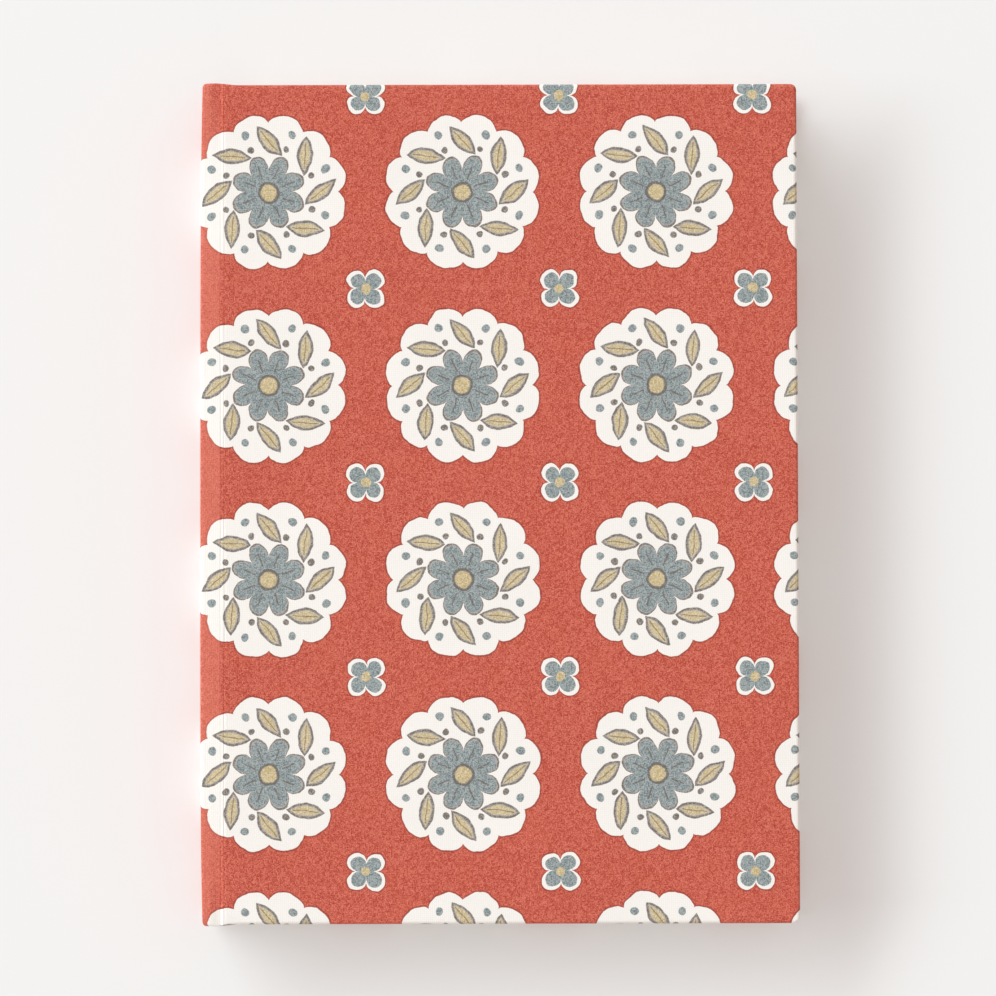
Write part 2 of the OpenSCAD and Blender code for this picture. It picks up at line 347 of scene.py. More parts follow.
def spine_cloth(name):
    """The cloth on the spine's face, turned in at the head and the tail."""
    half = SPINE_H / 2
    shares, ys, unrolled = joint_rows(half, SPINE_END_R, SPINE_TURN)
    bow = SPINE_BOW * (1 - np.minimum(np.abs(ys) / half, 1) ** BOW_POWER) * (1 - shares)
    inner_share = (TOTAL_T / 2 - joint_columns()[3][0]) / TO_BEND
    points, sheet, rub = [], [], []
    for along in np.linspace(-TO_BEND, TO_BEND, SPINE_COLUMNS):
        h = TOTAL_T / 2 - along * (1 + (inner_share - 1) * shares)
        points.append(np.stack([SPINE_TURN * shares - bow, ys, h], axis=1))
        sheet.append(np.stack([np.full(len(ys), along), unrolled, 0 * ys], axis=1))
        rub.append(np.maximum(corner_wear(abs(along)), end_wear(unrolled, half, shares)))
    faces = grid_faces(len(points), len(ys))
    obj = make_piece(
        name, place(np.concatenate(points), True), faces,
        sheet_mm=np.concatenate(sheet), rub=np.concatenate(rub),
    )
    return thicken(obj, JOINT_SHELL_T)


def joint_cloth(name, front):
    """The cloth round one corner of the spine and over the hinge, turned in at the head and the tail."""
    outer_s, outer_h, inner_s, inner_h, length = joint_columns()
    points, sheet, rub, stretch = [], [], [], []
    side = 1 if front else -1
    for c, along in enumerate(length):
        ease = smooth((outer_s[c] - BLOCK_BACK) / (SEAM_S - EASE_BEFORE - BLOCK_BACK))
        half = SPINE_H / 2 + (CASE_H - SPINE_H) / 2 * ease
        reach = math.hypot(inner_s[c] - outer_s[c], inner_h[c] - outer_h[c])
        round_r = SPINE_END_R if outer_s[c] < FOLD_R else EDGE_R
        shares, ys, unrolled = joint_rows(half, min(round_r, MOST_ROUND * reach), reach)
        to_end = np.minimum(np.abs(ys) / half, 1)
        hold = 1 - smooth((along - TO_BEND) / (2 * BEND_HALF))
        bow = SPINE_BOW * hold * (1 - to_end ** BOW_POWER) * (1 - shares)
        dip = hinge_dip(outer_s[c], ys, to_end) * (1 - shares)
        s = outer_s[c] + (inner_s[c] - outer_s[c]) * shares - bow
        h = outer_h[c] + (inner_h[c] - outer_h[c]) * shares + dip
        points.append(np.stack([s, ys, h], axis=1))
        sheet.append(np.stack([np.full(len(ys), side * along), unrolled, 0 * ys], axis=1))
        rub.append(np.maximum(corner_wear(along), end_wear(unrolled, half, shares)))
        # Painted highlight on the hinge's slope, kept on the points as stretch, fading at the head and the
        # tail
        slope_lit = smooth(outer_s[c] / SLOPE_LIGHT_RAMP)
        slope_lit = slope_lit * (1 - smooth((outer_s[c] - VALLEY_LOW + SLOPE_LIGHT_ENDS_BEFORE) / SLOPE_LIGHT_RAMP))
        lit_fade = smooth((outer_s[c] - SLOPE_LIGHT_FADE_FROM) / SLOPE_LIGHT_FADE_OVER)
        stretch.append(slope_lit * (1 - lit_fade * to_end ** END_POWER))
    faces = grid_faces(len(length), len(points[0]))
    obj = make_piece(
        name, place(np.concatenate(points), front), faces, flip=not front,
        sheet_mm=np.concatenate(sheet), rub=np.concatenate(rub), stretch=np.concatenate(stretch),
    )
    return thicken(obj, JOINT_SHELL_T)


TO_SEAM = joint_columns()[-1][-1]


# Cloth of a cover: flat over the board, round its three edges and onto its inner face. Each corner has a
# zone with columns of its own, and a fold that is pressed in along its diagonal
ZONE_BEYOND = 0.8
ZONE = CORNER_R + ZONE_BEYOND
ZONE_STEPS = 6
MITRE_DEPTH = 0.2
TINY = 1e-9

# How far in from the edge the flat ends, and the wear on the inner side of the edge, which is 1 outside
FLAT_INSET = 1.2
INNER_RUB = 0.3


def corner_half(inset):
    """Points from a side to the diagonal of a corner, as distances in from the two edges."""
    radius = max(CORNER_R - inset, 0.0)
    leg = ZONE - inset if inset < CORNER_R else ZONE - CORNER_R
    straight = leg - radius
    total = straight + radius * math.pi / 4
    out = []
    for t in np.linspace(0, 1, ZONE_STEPS + 1) * total:
        if t <= straight:
            out.append((inset + leg - t, inset))
        else:
            a = (t - straight) / max(radius, TINY)
            out.append((inset + radius * (1 - math.sin(a)), inset + radius * (1 - math.cos(a))))
    return np.array(out)


def panel_path(inset, along_s, along_y):
    """A cover's three open sides, a distance in from its edges, from the tail at the seam to the head."""
    half = CASE_H / 2
    corner = corner_half(inset)
    leg_in = corner[0][0]
    s_end = CASE_W - leg_in
    y_end = half - leg_in
    tail = [(SEAM_S + f * (s_end - SEAM_S), -half + inset) for f in along_s[:-1]]
    tail += [(CASE_W - a, -half + b) for a, b in corner]
    fore = [(CASE_W - b, -half + a) for a, b in corner[::-1][1:]]
    fore += [(CASE_W - inset, f * y_end) for f in along_y[1:-1]]
    fore += [(CASE_W - b, half - a) for a, b in corner]
    head = [(s, -y) for s, y in tail[::-1][1:]]
    return np.array(tail + fore + head)


def panel_profile():
    """Rows from the flat of the cover round its edge and onto its inner face: inset, depth and length."""
    psi = np.linspace(0, math.pi / 2, ARC_STEPS + 1)
    inset = [FLAT_INSET, *(EDGE_R * (1 - np.sin(psi))), *(EDGE_R * (1 - np.cos(psi)))]
    depth = [0.0, *(EDGE_R * (1 - np.cos(psi))), *(TURN_TOP - EDGE_R * (1 - np.sin(psi)))]
    for more in (CORNER_R, *TURN_IN_INSETS, TURN_IN + CLOTH_T):
        inset.append(more)
        depth.append(TURN_TOP)
    steps = np.hypot(np.diff([CORNER_R, *inset]), np.diff([0.0, *depth]))
    return list(zip(inset, depth, np.cumsum(steps)))


def panel_cloth(name, front):
    """The cloth of one cover beyond the seam."""
    along_s = np.linspace(0, 1, PANEL_COLUMNS)
    along_y = np.linspace(-1, 1, PANEL_ROWS)
    first = panel_path(CORNER_R, along_s, along_y)
    columns = len(along_s) + ZONE_STEPS
    rows = len(along_y) + 2 * ZONE_STEPS
    grid_s = first[:columns, 0]
    grid_y = first[columns - 1:columns - 1 + rows, 1]
    points = [(s, y, 0.0) for s in grid_s for y in grid_y]
    offset = TO_SEAM - SEAM_S
    side = 1 if front else -1
    sheet = [(side * (s + offset), y, 0.0) for s in grid_s for y in grid_y]
    rub = [0.0] * len(points)
    faces = grid_faces(columns, rows)

    edge = [i * rows for i in range(columns)]
    edge += [(columns - 1) * rows + j for j in range(1, rows)]
    edge += [i * rows + rows - 1 for i in range(columns - 2, -1, -1)]
    outward = panel_path(0.0, along_s, along_y) - first
    outward /= np.linalg.norm(outward, axis=1)[:, None]
    diagonals = (columns - 1, columns - 1 + rows - 1)
    for inset, depth, run in panel_profile():
        ring = panel_path(inset, along_s, along_y)
        start = len(points)
        for c, (s, y) in enumerate(ring):
            pressed = c in diagonals and depth == TURN_TOP and inset >= CORNER_R
            points.append((s, y, depth - MITRE_DEPTH if pressed else depth))
            u, v = first[c] + outward[c] * run
            sheet.append((side * (u + offset), v, 0.0))
            rub.append(1.0 if inset < EDGE_R and depth < TURN_TOP / 2 else INNER_RUB * (inset < EDGE_R))
        ids = list(range(start, start + len(ring)))
        faces += [(edge[c], ids[c], ids[c + 1], edge[c + 1]) for c in range(len(ids) - 1)]
        edge = ids
    obj = make_piece(name, place(points, front), faces, flip=not front, sheet_mm=sheet, rub=rub)
    return thicken(obj, SHELL_T)


# Paper: sheets in a section and their thickness, the radii of their folds, and the kerfs sawn for the sewing
SHEETS = 4
PAGE_T = 0.128
FOLD_IN, FOLD_STEP, FOLD_POINTS = 0.075, 0.12, 11
KERF_W, KERF_END, KERF_COUNT, KERF_DEPTH = 0.6, 14.0, 5, 0.49
SAWN_NEAR = 0.01

# Places along a leaf from the fore-edge to the fold, how it spreads from the fold, and its uneven trimming
PAGE_REACH = (148.0, 100.0, 60.0, 36.0, 22.0, 12.0, 6.0, 2.5)
SPREAD_FROM, SPREAD_OVER = 1.0, 30.0
TRIM_UNEVEN, END_UNEVEN = 0.07, 0.05

# Endpapers: steps over what is glued under them, room left in their thickness, and a flyleaf's faint wave
STEP_W, STEP_POINTS = 1.3, 9
PASTE_ROOM, FLY_ROOM = 0.02, 0.05
PASTE_COLUMNS, PASTE_ROWS = 30, 20
FLY_COLUMNS, FLY_ROWS = 40, 25
WAVE_H, WAVE_LONG, WAVE_SHIFT = 0.012, 31.0, 0.6
WAVE_FROM, WAVE_OVER = 40, 80

# Steps and damping of the search for the place on a blend's ramp that has a given weight
SEARCH_STEPS, SEARCH_DAMPING = 60, 0.7


def section_middle(k):
    """Height of the middle of a section, where section 1 is next to the front cover."""
    return TOTAL_T - flyleaf_high[2] - (k - 0.5) * SECTION_T


def folded_sheet(radius, spread, middle):
    """Points and quads of one folded sheet: two leaves that meet in a round fold, sawn at the kerfs."""
    kerfs = np.linspace(-1, 1, KERF_COUNT) * (PAGE_H / 2 - KERF_END)
    rows = np.sort(np.concatenate([[-PAGE_H / 2, PAGE_H / 2], kerfs - KERF_W / 2, kerfs + KERF_W / 2]))
    between = (rows[:-1] + rows[1:]) / 2
    sawn = {j for j, y in enumerate(between) if np.min(np.abs(kerfs - y)) < SAWN_NEAR}
    trim = RNG.uniform(-TRIM_UNEVEN, 0.0, 2)
    ends = RNG.uniform(-END_UNEVEN, 0.0, (2, 2))
    tones = RNG.uniform(0.0, 1.0, 2)
    reach = np.array(PAGE_REACH)
    ease = smooth((reach - SPREAD_FROM) / SPREAD_OVER)
    path = []
    for leaf, sign in ((0, 1), (1, -1)):
        s = np.minimum(FOLD_S + reach, PAGE_FORE + trim[leaf])
        z = middle + sign * (radius + (spread - radius) * ease)
        leaf_points = [(a, b, leaf) for a, b in zip(s, z)]
        path.append(leaf_points if leaf == 0 else leaf_points[::-1])
    fold = [
        (FOLD_S - radius * math.sin(a), middle + radius * math.cos(a), 0 if a < math.pi / 2 else 1)
        for a in np.linspace(0, math.pi, FOLD_POINTS)
    ]
    path = path[0] + fold + path[1]
    points, faces, tone = [], [], []
    for s, z, leaf in path:
        for j, y in enumerate(rows):
            trimmed = ends[leaf][0] if j == 0 else -ends[leaf][1] if j == len(rows) - 1 else 0.0
            points.append((s, y - trimmed, z))
            tone.append(tones[leaf])
    for quad in grid_faces(len(path), len(rows)):
        column, row = divmod(quad[0], len(rows))
        back = max(path[column][0], path[column + 1][0])
        if row in sawn and back < BLOCK_BACK + KERF_DEPTH:
            continue
        faces.append(quad)
    return np.array(points), faces, tone


def world(points):
    """World points in metres from rows of s, y and z."""
    points = np.array(points, float)
    points[:, 0] += SPINE_X
    return points * MM


def make_section(k):
    """The folded sheets of one section, nested in one another."""
    points, faces, tones, count = [], [], [], 0
    for i in range(SHEETS):
        radius = SECTION_T / 2 - FOLD_IN - FOLD_STEP * i
        spread = SECTION_T / 2 * (1 - (i + 0.5) / SHEETS)
        more, quads, tone = folded_sheet(radius, spread, section_middle(k))
        faces += [tuple(v + count for v in quad) for quad in quads]
        points.append(more)
        tones += tone
        count += len(more)
    obj = make_piece(f"pages_{k:02d}", world(np.concatenate(points)), faces, tone=tones)
    for material in (paper, page_edge):
        obj.data.materials.append(material)
    return thicken(obj, PAGE_T, offset=0.0)


def lean(obj, k):
    """Works out how far a section's leaves would slide past each other as its cover opens, furthest at the
    gutter, but only bakes the section in place.
    """
    front = k <= SECTION_COUNT // 2
    cover, body = ("front_cover" if front else "back_cover"), f"signature_{k:02d}"
    slides = {j["child"]: j["range_m"][1] for j in frame["joints"] if j["type"] == "slide"}
    step = slides["signature_02"] - slides["signature_01"]
    share = 1 - step / slides[body]
    t = 0.5
    for _ in range(SEARCH_STEPS):
        t -= SEARCH_DAMPING * (smooth(t) - share) / (6 * t * (1 - t))
    outward = 1 if front else -1
    inner_z = section_middle(k) - outward * SECTION_T / 2
    outer_z = inner_z + outward * SECTION_T / (1 - t)
    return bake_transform(obj, cover, body, start=(0, 0, outer_z * MM), end=(0, 0, inner_z * MM))


def make_pastedown(name, front):
    """Endpaper glued to a cover, with steps down from the cloth's turn-ins to the mull and the board."""
    window_s, window_y = BOARD_FORE - TURN_IN, BOARD_H / 2 - TURN_IN
    fine = np.linspace(-STEP_W, STEP_W, STEP_POINTS)
    columns = np.unique(np.concatenate([
        np.linspace(BLOCK_BACK, PAGE_FORE, PASTE_COLUMNS),
        FLAP_FORE + fine,
        window_s + fine,
    ]))
    rows_half = np.concatenate([
        np.linspace(0, PAGE_H / 2, PASTE_ROWS),
        FLAP_H / 2 + fine,
        window_y + fine,
    ])
    rows = np.unique(np.concatenate([-rows_half, rows_half]))
    s, y = np.meshgrid(columns, rows, indexing="ij")
    over_turn = np.maximum(
        smooth((s - window_s + STEP_W) / STEP_W),
        smooth((np.abs(y) - window_y + STEP_W) / STEP_W),
    )
    over_flap = smooth((FLAP_FORE + STEP_W - s) / STEP_W)
    over_flap = over_flap * smooth((FLAP_H / 2 + STEP_W - np.abs(y)) / STEP_W)
    low = BOARD_TOP + ENDPAPER_T + MULL_T * over_flap
    h = low + (PASTE_TOP - low) * over_turn
    points = np.stack([s.ravel(), y.ravel(), h.ravel()], axis=1)
    obj = make_piece(name, place(points, front), grid_faces(len(columns), len(rows)), flip=front)
    return thicken(obj, ENDPAPER_T - PASTE_ROOM)


def make_flyleaf(name, front):
    """Free endpaper, with the faint wave of a leaf that is tipped on along its fold."""
    columns = np.linspace(FOLD_S, PAGE_FORE, FLY_COLUMNS)
    rows = np.linspace(-PAGE_H / 2, PAGE_H / 2, FLY_ROWS)
    s, y = np.meshgrid(columns, rows, indexing="ij")
    middle = (flyleaf_low[2] + flyleaf_high[2]) / 2
    wave = WAVE_H * np.sin(y / WAVE_LONG + WAVE_SHIFT) * smooth((s - WAVE_FROM) / WAVE_OVER)
    points = np.stack([s.ravel(), y.ravel(), (middle + wave).ravel()], axis=1)
    obj = make_piece(name, place(points, front), grid_faces(len(columns), len(rows)), flip=front)
    return thicken(obj, ENDPAPER_T - FLY_ROOM, offset=0.0)


# Materials
def linear(red, green, blue):
    """A colour written as sRGB from 0 to 255, in the linear values that shaders take."""
    def one(v):
        v = v / 255
        return v / 12.92 if v <= 0.04045 else ((v + 0.055) / 1.055) ** 2.4
    return (one(red), one(green), one(blue), 1.0)


class Field:
    """A number that shader nodes work out at each point of a surface."""

    def __init__(self, tree, socket):
        self.tree = tree
        self.socket = socket

    def op(self, kind, *others):
        node = self.tree.nodes.new("ShaderNodeMath")
        node.operation = kind
        for slot, value in zip(node.inputs, (self, *others)):
            if isinstance(value, Field):
                self.tree.links.new(value.socket, slot)
            else:
                slot.default_value = value
        return Field(self.tree, node.outputs[0])

    def __add__(self, other):
        return self.op("ADD", other)

    def __sub__(self, other):
        return self.op("SUBTRACT", other)

    def __rsub__(self, other):
        return (self * -1.0) + other

    def __mul__(self, other):
        return self.op("MULTIPLY", other)

    __radd__ = __add__
    __rmul__ = __mul__

    def __truediv__(self, other):
        return self.op("DIVIDE", other)

    def abs(self):
        return self.op("ABSOLUTE")

    def sin(self):
        return self.op("SINE")

    def cos(self):
        return self.op("COSINE")

    def power(self, exponent):
        return self.op("POWER", exponent)

    def root(self):
        return self.op("SQRT")

    def wrap(self, half):
        return self.op("WRAP", half, -half)

    def most(self, other):
        return self.op("MAXIMUM", other)

    def clamp(self):
        return self.op("MAXIMUM", 0.0).op("MINIMUM", 1.0)

    def ramp(self, steepness, start):
        """A straight ramp from 0 to 1."""
        return (self * steepness - start).clamp()

    def inside(self, bleed=INK_BLEED):
        """1 where a distance in millimetres is above 0, with an edge as soft as ink on cloth."""
        return (self / bleed + 0.5).clamp()


def new_material(name, roughness, **sockets):
    """A material with a principled shader, whose sockets are set by name."""
    material = bpy.data.materials.new(name)
    material.use_nodes = True
    shader = material.node_tree.nodes["Principled BSDF"]
    shader.inputs["Roughness"].default_value = roughness
    for key, value in sockets.items():
        shader.inputs[key.replace("_", " ")].default_value = value
    return material, material.node_tree, shader


def noise(tree, vector, scale, detail=2.0, colour=False):
    """Soft noise over a surface: a number near 0.5, or three of them as a colour."""
    node = tree.nodes.new("ShaderNodeTexNoise")
    tree.links.new(vector, node.inputs["Vector"])
    node.inputs["Scale"].default_value = scale
    node.inputs["Detail"].default_value = detail
    return node.outputs["Color"] if colour else Field(tree, node.outputs["Fac"])


def mix(tree, factor, first, second):
    """A colour between two, each a socket or a colour."""
    node = tree.nodes.new("ShaderNodeMix")
    node.data_type = "RGBA"
    tree.links.new(factor.socket, node.inputs["Factor"])
    for slot, value in ((node.inputs[6], first), (node.inputs[7], second)):
        if isinstance(value, tuple):
            slot.default_value = value
        else:
            tree.links.new(value, slot)
    return node.outputs[2]


def kept_value(tree, name):
    """A number that is kept on a mesh's points under this name."""
    node = tree.nodes.new("ShaderNodeAttribute")
    node.attribute_name = name
    return Field(tree, node.outputs["Fac"])


def shade(tree, colour, factor):
    """A colour made lighter or darker by a factor near 1."""
    node = tree.nodes.new("ShaderNodeVectorMath")
    node.operation = "SCALE"
    tree.links.new(colour, node.inputs[0])
    tree.links.new(factor.socket, node.inputs["Scale"])
    return node.outputs[0]


def bump(tree, shader, height, distance):
    """Raises a surface by a height from 0 to 1 times a distance in millimetres."""
    node = tree.nodes.new("ShaderNodeBump")
    node.inputs["Strength"].default_value = 1.0
    node.inputs["Distance"].default_value = distance * MM
    tree.links.new(height.socket, node.inputs["Height"])
    tree.links.new(node.outputs["Normal"], shader.inputs["Normal"])


RED_INK = linear(201, 91, 74)
RED_DEEP = linear(170, 53, 39)
RED_LIGHT = linear(230, 132, 112)
RED_ORANGE = linear(210, 95, 66)
RED_POOLED = linear(140, 56, 48)
OFF_WHITE = linear(250, 247, 241)
BLUE_INK = linear(98, 114, 118)
BLUE_LIGHT = linear(164, 175, 175)
OCHRE_INK = linear(188, 166, 118)
OCHRE_LIGHT = linear(228, 213, 174)
GREY_INK = linear(114, 105, 98)

# Scales of the cloth's noises, per millimetre, with how far the printed lines and the threads stray
THREAD_PITCH = 0.52
PRINT_STRAY_SCALE, PRINT_STRAY = 0.22, 1.5
THREAD_STRAY_SCALE, THREAD_STRAY = 0.5, 0.5
SLUB_SCALE, PATCH_SCALE, CLOUD_SCALE = 0.9, 0.16, 0.04
SPECK_SCALE, SPECK_SHARE, GRAIN_SHARE = 3.0, 0.8, 0.2

# Ramps over the specks and patches, from the deep tone of an ink to its light one
RED_RAMP, BLUE_RAMP, OCHRE_RAMP = (4.4, 1.7), (4.2, 1.55), (3.8, 1.4)
RUB_RAMP, PATCH_RAMP = (2.4, 0.9), (1.8, 0.7)

# How much of each ink, kind of wear or painted highlight shows, where it is full, and how much less on light
# specks
EVEN_SHARE, EVEN_CROSS, EVEN_SLUB = 0.18, 0.12, 0.1
PATCH_SHARE, POOL_SHARE, PAINTED_SLOPE_LIGHT_SHARE, RUB_SHARE = 0.3, 0.7, 0.4, 0.4
BLUE_SHARE, BLUE_THIN = 1.06, 0.25
OCHRE_SHARE = 0.96
GREY_SHARE, GREY_THIN = 1.6, 1.4

# How the weave, the clouds and the specks vary the tone, the relief in millimetres and the roughness
WARP_TONE, WEFT_TONE, CROSS_TONE, CLOUD_TONE, SPECK_TONE = 0.03, 0.015, 0.02, 0.07, 0.12
CROSS_RELIEF, WARP_RELIEF, SLUB_RELIEF, WEAVE_H = 0.25, 0.1, 0.5, 0.05
CLOTH_ROUGH, INK_SMOOTHER, SPECK_SMOOTHER, CLOTH_ROUGH_MEAN = 0.9, 0.05, 0.1, 0.85


def print_masks(u, v):
    """Where the inks and the bare cloth lie: rows and columns of round blooms with florets between."""
    x, y = ((along - at).wrap(PITCH / 2) / MEDALLION for along, at in ((u, PRINT_U), (v, PRINT_V)))
    r = (x * x + y * y).root()
    angle = y.op("ARCTAN2", x)

    scallop = SCALLOP_R + (angle * (SCALLOPS / 2)).sin().abs().power(SCALLOP_ROUND) * SCALLOP_OUT
    bare = (scallop - r).inside()

    lobes = angle * (PETALS / 2)
    petal = PETAL_R + lobes.sin().abs().power(PETAL_ROUND) * PETAL_OUT
    bloom = (petal - r).inside()
    rim = bloom - (petal - OUTLINE_W - r).inside(OUTLINE_BLEED)
    heart = (HEART_R - r).inside()
    ring = (RING_R - r).inside() - (HEART_R - r).inside(OUTLINE_BLEED)
    off_middle = lobes.cos().abs() * r / (PETALS / 2)
    veins = (VEIN_W - off_middle).inside(VEIN_BLEED) * (r - VEIN_FROM).inside() * (VEIN_TO - r).inside()

    # One leaf in each sector, turned about its own middle
    sector = math.pi / PETALS
    a = angle.wrap(sector)
    along, across = r * a.cos() - LEAF_AT, r * a.sin()
    p = along * math.cos(LEAF_TILT) + across * math.sin(LEAF_TILT)
    q = across * math.cos(LEAF_TILT) - along * math.sin(LEAF_TILT)
    almond = (1 - (p / LEAF_HALF).power(2.0)) * LEAF_WIDE - q.abs()
    leaf = almond.inside()
    leaf_rim = leaf - (almond - LEAF_OUTLINE_W).inside(LEAF_BLEED)
    midrib = (MIDRIB_W - q.abs()).inside(VEIN_BLEED) * (MIDRIB_HALF - p.abs()).inside()

    # A bud and a dot between each two leaves
    b = (angle + sector).wrap(sector)
    bud_r = ((r * b.cos() - BUD_AT).power(2.0) + (r * b.sin()).power(2.0)).root()
    bud = (BUD_R - bud_r).inside()
    dot_r = ((r * b.cos() - DOT_AT).power(2.0) + (r * b.sin()).power(2.0)).root()
    dot = (DOT_R - dot_r).inside()

    # Florets, halfway between the medallions
    fx = (u - PRINT_U + PITCH / 2).wrap(PITCH / 2)
    fy = (v - PRINT_V + PITCH / 2).wrap(PITCH / 2)
    fr = (fx * fx + fy * fy).root()
    turned = fy.op("ARCTAN2", fx) * (FLORET_PETALS / 2)
    floret_edge = FLORET_R + turned.sin().abs().power(PETAL_ROUND) * FLORET_OUT - fr
    floret = floret_edge.inside()
    floret_blue = (floret_edge - FLORET_BAND).inside()
    floret_heart = (FLORET_HEART_R - fr).inside()

    white = bare.most(floret)
    pooled = (scallop + POOL_W - r).inside(POOL_BLEED).most((floret_edge + POOL_W).inside(POOL_BLEED))
    blue = (bloom - rim).most(dot).most(floret_blue)
    ochre = heart.most(leaf - leaf_rim).most(floret_heart)
    grey = rim.most(ring).most(leaf_rim).most(veins).most(midrib).most(bud)
    return white, pooled, blue, ochre, grey


def cloth_material():
    """Printed cotton on paper: a plain weave of fine threads, with inks that sit on it unevenly."""
    material, tree, shader = new_material(
        "printed_cloth", CLOTH_ROUGH_MEAN, Specular_IOR_Level=0.25, Sheen_Weight=0.06, Sheen_Roughness=0.5,
    )
    sheet = tree.nodes.new("ShaderNodeAttribute")
    sheet.attribute_name = "sheet_mm"
    flat = sheet.outputs["Vector"]

    wander = tree.nodes.new("ShaderNodeVectorMath")
    wander.operation = "MULTIPLY_ADD"
    tree.links.new(noise(tree, flat, PRINT_STRAY_SCALE, detail=4.0, colour=True), wander.inputs[0])
    wander.inputs[1].default_value = (PRINT_STRAY, PRINT_STRAY, 0.0)
    tree.links.new(flat, wander.inputs[2])
    drawn = tree.nodes.new("ShaderNodeSeparateXYZ")
    tree.links.new(wander.outputs[0], drawn.inputs[0])
    drawn_u, drawn_v = Field(tree, drawn.outputs[0]), Field(tree, drawn.outputs[1])
    white, pooled, blue, ochre, grey = print_masks(drawn_u, drawn_v)

    place_on = tree.nodes.new("ShaderNodeSeparateXYZ")
    tree.links.new(flat, place_on.inputs[0])
    uneven = noise(tree, flat, THREAD_STRAY_SCALE)
    u = Field(tree, place_on.outputs[0]) + uneven * THREAD_STRAY
    v = Field(tree, place_on.outputs[1]) + uneven * THREAD_STRAY
    warp = (u * (2 * math.pi / THREAD_PITCH)).sin()
    weft = (v * (2 * math.pi / THREAD_PITCH)).sin()
    cross = warp * weft
    slub = noise(tree, flat, SLUB_SCALE, detail=3.0)
    grains = tree.nodes.new("ShaderNodeTexVoronoi")
    tree.links.new(flat, grains.inputs["Vector"])
    grains.inputs["Scale"].default_value = 1 / THREAD_PITCH
    grain = Field(tree, grains.outputs["Color"])
    speck = noise(tree, flat, SPECK_SCALE) * SPECK_SHARE + grain * GRAIN_SHARE
    patch = noise(tree, flat, PATCH_SCALE, detail=3.0)
    cloud = noise(tree, flat, CLOUD_SCALE, detail=3.0)

    ground = mix(tree, speck.ramp(*RED_RAMP), RED_DEEP, RED_LIGHT)
    ground = mix(tree, (EVEN_SHARE + cross * EVEN_CROSS + slub * EVEN_SLUB).clamp(), ground, RED_INK)
    ground = mix(tree, patch.ramp(*PATCH_RAMP) * PATCH_SHARE, ground, RED_ORANGE)
    ground = mix(tree, pooled * POOL_SHARE, ground, RED_POOLED)
    # Painted highlight: the hinge's slope made lighter, from the values kept as stretch
    ground = mix(tree, kept_value(tree, "stretch") * PAINTED_SLOPE_LIGHT_SHARE, ground, RED_LIGHT)
    ground = mix(tree, kept_value(tree, "rub") * speck.ramp(*RUB_RAMP) * RUB_SHARE, ground, RED_LIGHT)
    body = mix(tree, white, ground, OFF_WHITE)
    blue_tone = mix(tree, speck.ramp(*BLUE_RAMP), BLUE_INK, BLUE_LIGHT)
    body = mix(tree, blue * (BLUE_SHARE - speck * BLUE_THIN).clamp(), body, blue_tone)
    ochre_tone = mix(tree, speck.ramp(*OCHRE_RAMP), OCHRE_INK, OCHRE_LIGHT)
    body = mix(tree, ochre * OCHRE_SHARE, body, ochre_tone)
    body = mix(tree, grey * (GREY_SHARE - speck * GREY_THIN).clamp(), body, GREY_INK)

    tone = 1.0 + (warp * WARP_TONE + weft * WEFT_TONE + cross * CROSS_TONE)
    tone = tone + (cloud - 0.5) * CLOUD_TONE + (speck - 0.5) * SPECK_TONE
    tree.links.new(shade(tree, body, tone), shader.inputs["Base Color"])
    relief = 0.5 + cross * CROSS_RELIEF + warp * WARP_RELIEF + (slub - 0.5) * SLUB_RELIEF
    bump(tree, shader, relief, WEAVE_H)
    rough = CLOTH_ROUGH - (blue + ochre + grey).clamp() * INK_SMOOTHER - speck * SPECK_SMOOTHER
    tree.links.new(rough.socket, shader.inputs["Roughness"])
    return material


def object_vector(tree):
    """Place on the object, in millimetres."""
    place_node = tree.nodes.new("ShaderNodeTexCoord")
    node = tree.nodes.new("ShaderNodeVectorMath")
    node.operation = "SCALE"
    node.inputs["Scale"].default_value = 1 / MM
    tree.links.new(place_node.outputs["Object"], node.inputs[0])
    return node.outputs[0]


# Paper and board: scales of the clouds and fibres per millimetre, and their shares of the tone
PULP_SCALE, PULP_SHARE = 0.05, 0.6
FIBRE_SCALE, FIBRE_SHARE = 1.6, 0.8
FIBRE_GRAIN = (1.0, 0.25, 1.0)
FIBRE_START, FIBRE_ROUGHER = 0.2, 0.1

# Open weave: scale of its unevenness per millimetre, and its roughness in the gaps and on the threads
GAUZE_STRAY_SCALE = 0.4
GAUZE_ROUGH, THREAD_SMOOTHER, GAUZE_ROUGH_MEAN = 0.95, 0.1, 0.9


def fibre_material(name, light, dark, roughness, scale, height, by_leaf=0.0):
    """Paper or board: two tones in soft clouds, short fibres and a faint tooth, darker on some leaves."""
    material, tree, shader = new_material(name, roughness, Specular_IOR_Level=0.3)
    where = object_vector(tree)
    cloud = noise(tree, where, PULP_SCALE * scale, detail=4.0)
    stretch = tree.nodes.new("ShaderNodeVectorMath")
    stretch.operation = "MULTIPLY"
    stretch.inputs[1].default_value = FIBRE_GRAIN
    tree.links.new(where, stretch.inputs[0])
    fibre = noise(tree, stretch.outputs[0], FIBRE_SCALE * scale, detail=3.0)
    pulp = (cloud * PULP_SHARE + fibre * FIBRE_SHARE - FIBRE_START).clamp()
    colour = mix(tree, pulp, dark, light)
    if by_leaf:
        colour = shade(tree, colour, 1.0 - kept_value(tree, "tone") * by_leaf)
    tree.links.new(colour, shader.inputs["Base Color"])
    bump(tree, shader, fibre, height)
    tree.links.new((roughness + (cloud - 0.5) * FIBRE_ROUGHER).socket, shader.inputs["Roughness"])
    return material


